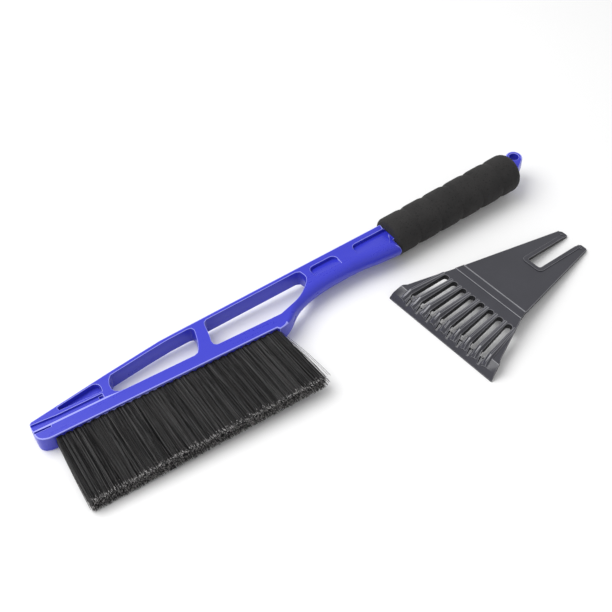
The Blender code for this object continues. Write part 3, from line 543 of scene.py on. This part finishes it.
rubber = Paint("black_foam_rubber", roughness=0.95, specular_ior_level=0.18,
               sheen_weight=0.03, sheen_roughness=0.6)
place = rubber.place()
patch = rubber.noise(place, 38.0, 3.0)
grain = rubber.noise(place, 1500.0, 2.0)
cells = rubber.out(rubber.add("ShaderNodeTexVoronoi", {"feature": "F1"}, {"Vector": place, "Scale": 1400.0}))
pores = rubber.out(rubber.add("ShaderNodeTexVoronoi", {"feature": "F1"}, {"Vector": place, "Scale": 420.0}))
pits = 1.0 - (pores * 3.2).low(1.0)
# The pores are painted darker as well as sunk by the bump: a painted shade in the pits.
rubber.feed("Base Color", Value(rubber, rubber.ramp(patch * 0.6 + grain * 0.4 - pits * 0.35, [
    (0.2, (0.013, 0.013, 0.013, 1)), (0.5, (0.027, 0.026, 0.026, 1)), (0.8, (0.043, 0.041, 0.040, 1))])))
rubber.feed("Roughness", 0.86 + grain * 0.12)
rubber.bump(cells * 0.4 + grain * 0.4 - pits * 0.7, 0.00022)
dress(foam, rubber)
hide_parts("foam_grip")
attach(foam, "brush")


# ---------------------------------------------------------------------------
# Ice scraper
# One moulding in black polystyrene: a blade lip ground to an edge, claws and
# slots that break and clear ice, and a fork that slides into the brush's tip.
# ---------------------------------------------------------------------------
scraper_rim_round = 0.00028
scraper_rim_angle = 30
scraper_rim_face = 0.0005
scraper_wall_slope = 0.35
scraper_grey = (0.026, 0.026, 0.034, 1)
scraper_grey_light = (0.038, 0.038, 0.049, 1)
# Near black painted on the upright faces: painted shade in the slots and on the claws' sides.
scraper_wall_painted_shade = (0.004, 0.004, 0.005, 1)
# A light grey painted on the narrow rims: a painted highlight along the crests and edges.
scraper_rim_painted_highlight = (0.45, 0.45, 0.48, 1)


def mark_walls(piece, steepest):
    """Note which faces stand nearly upright: their normals rise by less than a share. A finish paints shade
    on them.
    """
    mesh = piece.data
    walls = [1.0 if abs(face.normal.z) < steepest else 0.0 for face in mesh.polygons]
    attribute = mesh.attributes.new("wall", "FLOAT", "FACE")
    attribute.data.foreach_set("value", walls)


scraper = cad_copy("scraper_head", "scraper_moulding")
round_rims(scraper, scraper_rim_round, scraper_rim_angle)
even_normals(scraper, moulding_smooth_angle)
mark_rims(scraper, scraper_rim_face)
mark_walls(scraper, scraper_wall_slope)
black = Paint("black_polystyrene", roughness=0.3, specular_ior_level=0.6)
place = black.place()
cloud = black.noise(place, 45.0, 4.0)
grain = black.noise(place, 1600.0, 2.0)
scuffs = black.noise(black.place(turn=(0.0, 0.0, -0.16), scale=(1.0, 9.0, 1.0)), 120.0, 6.0, 0.7)
rim = black.out(black.add("ShaderNodeAttribute", {"attribute_name": "rim"}), 2)
wall = black.out(black.add("ShaderNodeAttribute", {"attribute_name": "wall"}), 2)
open_top = black.blend(cloud, scraper_grey, scraper_grey_light)
# Upright walls are painted nearly black: a painted shade in the slots and along the claws.
even = black.blend(wall * 0.8, open_top, scraper_wall_painted_shade)
# Rim faces off the upright walls are painted a patchy light grey: a painted highlight on the edges.
rim_painted_highlight = rim * (1.0 - wall) * (0.14 + cloud * 0.4)
black.feed("Base Color", Value(black, black.blend(rim_painted_highlight, even, scraper_rim_painted_highlight)))
black.feed("Roughness", 0.24 + cloud * 0.08 + scuffs * 0.12 + wall * 0.35)
black.bump(grain * 0.6 + scuffs * 0.4, 0.00005)
dress(scraper, black)
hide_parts("scraper_head")
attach(scraper, "scraper")


# ---------------------------------------------------------------------------
# Studio
# A plain pale table, even daylight all round, and one broad lamp behind on the left.
# ---------------------------------------------------------------------------
bpy.ops.object.select_all(action="DESELECT")
bpy.ops.mesh.primitive_plane_add(size=8.0, location=(0.0, 0.0, cad_low.z))
floor = bpy.context.object
floor.name = "table_top"
card = Paint("white_card", roughness=0.8, specular_ior_level=0.2)
fibre = card.noise(card.place(), 3.0, 2.0)
card.feed("Base Color", Value(card, card.blend(fibre, (0.88, 0.88, 0.88, 1), (0.90, 0.90, 0.90, 1))))
dress(floor, card)

sky_at_horizon = 0.62
sky_overhead = 0.68
world = bpy.data.worlds.new("daylight")
world.use_nodes = True
sky = world.node_tree
direction = sky.nodes.new("ShaderNodeTexCoord")
split = sky.nodes.new("ShaderNodeSeparateXYZ")
fade = sky.nodes.new("ShaderNodeMapRange")
fade.inputs["From Min"].default_value = 0.0
fade.inputs["From Max"].default_value = 0.9
fade.inputs["To Min"].default_value = sky_at_horizon
fade.inputs["To Max"].default_value = sky_overhead
sky.nodes["Background"].inputs["Color"].default_value = (1.0, 1.0, 1.0, 1.0)
sky.links.new(direction.outputs["Generated"], split.inputs[0])
sky.links.new(split.outputs["Z"], fade.inputs["Value"])
sky.links.new(fade.outputs[0], sky.nodes["Background"].inputs["Strength"])
bpy.context.scene.world = world


def soft_lamp(name, location, target, size, power):
    lamp = bpy.data.lights.new(name, "AREA")
    lamp.shape = "RECTANGLE"
    lamp.size, lamp.size_y = size
    lamp.energy = power
    holder = bpy.data.objects.new(name, lamp)
    bpy.context.scene.collection.objects.link(holder)
    holder.location = location
    aim = Vector(target) - Vector(location)
    holder.rotation_euler = aim.to_track_quat("-Z", "Y").to_euler()
    return holder


lamp_place = (-0.65, 0.45, 1.35)
lamp_size = (1.2, 1.2)
lamp_power = 20.0
soft_lamp("window_lamp", lamp_place, (0.0, 0.0, 0.0), lamp_size, lamp_power)

camera = bpy.data.cameras.new("camera")
camera.sensor_width = 36.0
camera.lens = 62.88
camera.clip_start = 0.01
camera.clip_end = 50.0
viewer = bpy.data.objects.new("camera", camera)
bpy.context.scene.collection.objects.link(viewer)
heading, pitch, roll = 0.55323, 0.85991, 0.00442
level = math.cos(pitch)
forward = Vector((math.sin(heading) * level, math.cos(heading) * level, -math.sin(pitch)))
right = Vector((math.cos(heading), -math.sin(heading), 0.0))
above = right.cross(forward)
right, above = (
    right * math.cos(roll) + above * math.sin(roll),
    above * math.cos(roll) - right * math.sin(roll),
)
camera_before_body = (-0.06158, -0.46567)
camera_height = 0.67036
body_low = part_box("brush_body")[0]
stand = (body_low[0] + camera_before_body[0], body_low[1] + camera_before_body[1], camera_height)
viewer.matrix_world = Matrix.Translation(stand) @ Matrix((right, above, -forward)).transposed().to_4x4()
bpy.context.scene.camera = viewer
bpy.context.scene.view_settings.view_transform = "Standard"
